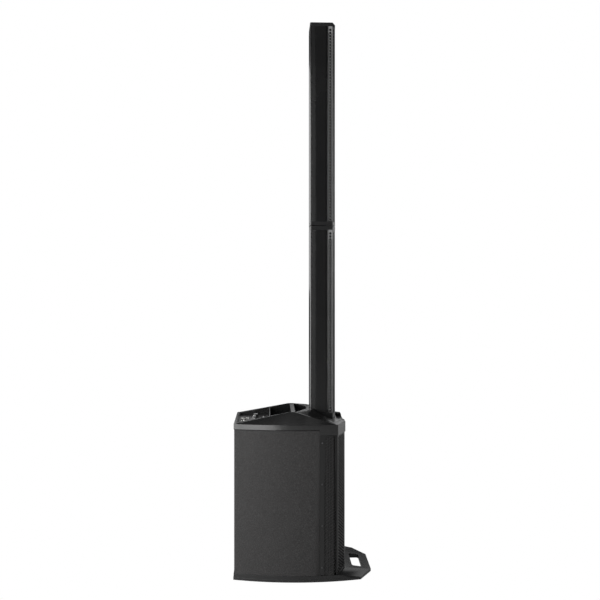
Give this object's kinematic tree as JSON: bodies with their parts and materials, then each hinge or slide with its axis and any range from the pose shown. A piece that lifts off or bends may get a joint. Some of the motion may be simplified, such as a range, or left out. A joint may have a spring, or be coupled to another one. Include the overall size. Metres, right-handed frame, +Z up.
{
  "type": "column pa system",
  "caption": "Portable loudspeaker: a bowed subwoofer on a foot plate, with a mixer and carry handle in its top cap, and a slim column of plug-in speaker modules.",
  "frame": {"origin": "on the floor, under the middle of the base plate's bounding box", "axes": "+Z up, -Y towards the front with the long foot and the grilles, +X towards the right side seen from the front"},
  "size_m": [0.366, 0.494, 2],
  "materials": {
    "base_plastic": "satin moulded",
    "foot_rubber": "matt",
    "screw_steel": "black oxide",
    "cabinet_paint": "textured black paint on plywood",
    "bare_ply": "bare birch plywood",
    "baffle_paint": "black paint",
    "black_plastic": "satin moulded",
    "grille_steel": "black powder coat",
    "grille_foam": "open foam",
    "basket_steel": "black",
    "magnet_ferrite": "plain",
    "cone_paper": "pressed paper",
    "surround_rubber": "matt",
    "spider_cloth": "resin-dipped cloth",
    "coil_copper": "wound copper",
    "amp_steel": "black powder coat",
    "sink_aluminium": "black anodised",
    "circuit_board": "solder mask",
    "rocker_plastic": "gloss",
    "cap_plastic": "satin moulded",
    "contact_brass": "gilt",
    "panel_steel": "dark grey",
    "latch_metal": "nickel",
    "display_glass": "gloss",
    "knob_plastic": "satin",
    "button_plastic": "satin",
    "housing_aluminium": "black anodised extrusion"
  },
  "bodies": {
    "subwoofer": {"base_plate": "base_plastic", "rubber_feet": "foot_rubber", "foot_screws": "screw_steel", "cabinet_shell": "cabinet_paint", "cabinet_floor": "bare_ply", "cabinet_roof": "bare_ply", "baffle_board": "baffle_paint", "port_tubes": "black_plastic", "sub_grille": "grille_steel", "grille_foam": "grille_foam", "grille_screws": "screw_steel", "woofer_basket": "basket_steel", "woofer_magnet": "magnet_ferrite", "woofer_surround": "surround_rubber", "woofer_spider": "spider_cloth", "woofer_screws": "screw_steel", "amplifier_panel": "amp_steel", "heat_sink": "sink_aluminium", "amplifier_board": "circuit_board", "mains_inlet": "black_plastic", "rocker_frame": "black_plastic", "amplifier_screws": "screw_steel", "top_cap": "cap_plastic", "handle_bar": "cap_plastic", "column_socket": "black_plastic", "socket_contacts": "contact_brass", "electronics_tub": "amp_steel", "mixer_panel": "panel_steel", "combo_jacks": "black_plastic", "line_jacks": "black_plastic", "link_output": "latch_metal", "display_lens": "display_glass", "panel_screws": "screw_steel"},
    "woofer_diaphragm": {"woofer_cone": "cone_paper", "woofer_dust_cap": "cone_paper", "woofer_voice_coil": "coil_copper"},
    "power_rocker": {"power_rocker": "rocker_plastic"},
    "latch_tab_1": {"latch_tab_1": "latch_metal"},
    "latch_tab_2": {"latch_tab_2": "latch_metal"},
    "menu_encoder": {"menu_encoder": "knob_plastic"},
    "button_1": {"button_1": "button_plastic"},
    "button_2": {"button_2": "button_plastic"},
    "lower_module": {"lower_housing": "housing_aluminium", "lower_foot_cap": "black_plastic", "lower_head_cap": "black_plastic", "lower_grille": "grille_steel", "lower_baffle": "black_plastic", "lower_driver_frames": "basket_steel", "lower_driver_cones": "cone_paper"},
    "upper_module": {"upper_housing": "housing_aluminium", "upper_foot_cap": "black_plastic", "upper_head_cap": "black_plastic", "upper_grille": "grille_steel", "upper_baffle": "black_plastic", "upper_driver_frames": "basket_steel", "upper_driver_cones": "cone_paper"},
    "channel_knob_1": {"channel_knob_1": "knob_plastic"},
    "channel_knob_2": {"channel_knob_2": "knob_plastic"},
    "channel_knob_3": {"channel_knob_3": "knob_plastic"},
    "channel_knob_4": {"channel_knob_4": "knob_plastic"}
  },
  "joints": [
    {"name": "woofer_travel", "type": "slide", "parent": "subwoofer", "child": "woofer_diaphragm", "axis": [0, -1, 0], "range_m": [-0.008, 0.008], "stiffness_N_per_m": 4000, "deforming": ["woofer_surround", "woofer_spider"]},
    {"name": "power_rocker_tip", "type": "hinge", "parent": "subwoofer", "child": "power_rocker", "pos_m": [0.004, 0.23, 0.1645], "axis": [1, 0, 0], "range_deg": [0, 16]},
    {"name": "latch_1_press", "type": "slide", "parent": "subwoofer", "child": "latch_tab_1", "axis": [0, 0, -1], "range_m": [0, 0.0018], "stiffness_N_per_m": 600},
    {"name": "latch_2_press", "type": "slide", "parent": "subwoofer", "child": "latch_tab_2", "axis": [0, 0, -1], "range_m": [0, 0.0018], "stiffness_N_per_m": 600},
    {"name": "knob_1_turn", "type": "hinge", "parent": "subwoofer", "child": "channel_knob_1", "pos_m": [-0.088, 0.176, 0.541], "axis": [0, 0, 1], "range_deg": [-150, 150]},
    {"name": "knob_2_turn", "type": "hinge", "parent": "subwoofer", "child": "channel_knob_2", "pos_m": [-0.054, 0.176, 0.541], "axis": [0, 0, 1], "range_deg": [-150, 150]},
    {"name": "knob_3_turn", "type": "hinge", "parent": "subwoofer", "child": "channel_knob_3", "pos_m": [-0.02, 0.176, 0.541], "axis": [0, 0, 1], "range_deg": [-150, 150]},
    {"name": "knob_4_turn", "type": "hinge", "parent": "subwoofer", "child": "channel_knob_4", "pos_m": [0.014, 0.176, 0.541], "axis": [0, 0, 1], "range_deg": [-150, 150]},
    {"name": "encoder_turn", "type": "hinge", "parent": "subwoofer", "child": "menu_encoder", "pos_m": [0.058, 0.172, 0.541], "axis": [0, 0, 1], "continuous": true},
    {"name": "button_1_press", "type": "slide", "parent": "subwoofer", "child": "button_1", "axis": [0, 0, -1], "range_m": [0, 0.0015], "stiffness_N_per_m": 500},
    {"name": "button_2_press", "type": "slide", "parent": "subwoofer", "child": "button_2", "axis": [0, 0, -1], "range_m": [0, 0.0015], "stiffness_N_per_m": 500},
    {"name": "lower_lift", "type": "slide", "parent": "subwoofer", "child": "lower_module", "axis": [0, 0, 1], "range_m": [0, 0.085]},
    {"name": "upper_lift", "type": "slide", "parent": "lower_module", "child": "upper_module", "axis": [0, 0, 1], "range_m": [0, 0.055]}
  ]
}
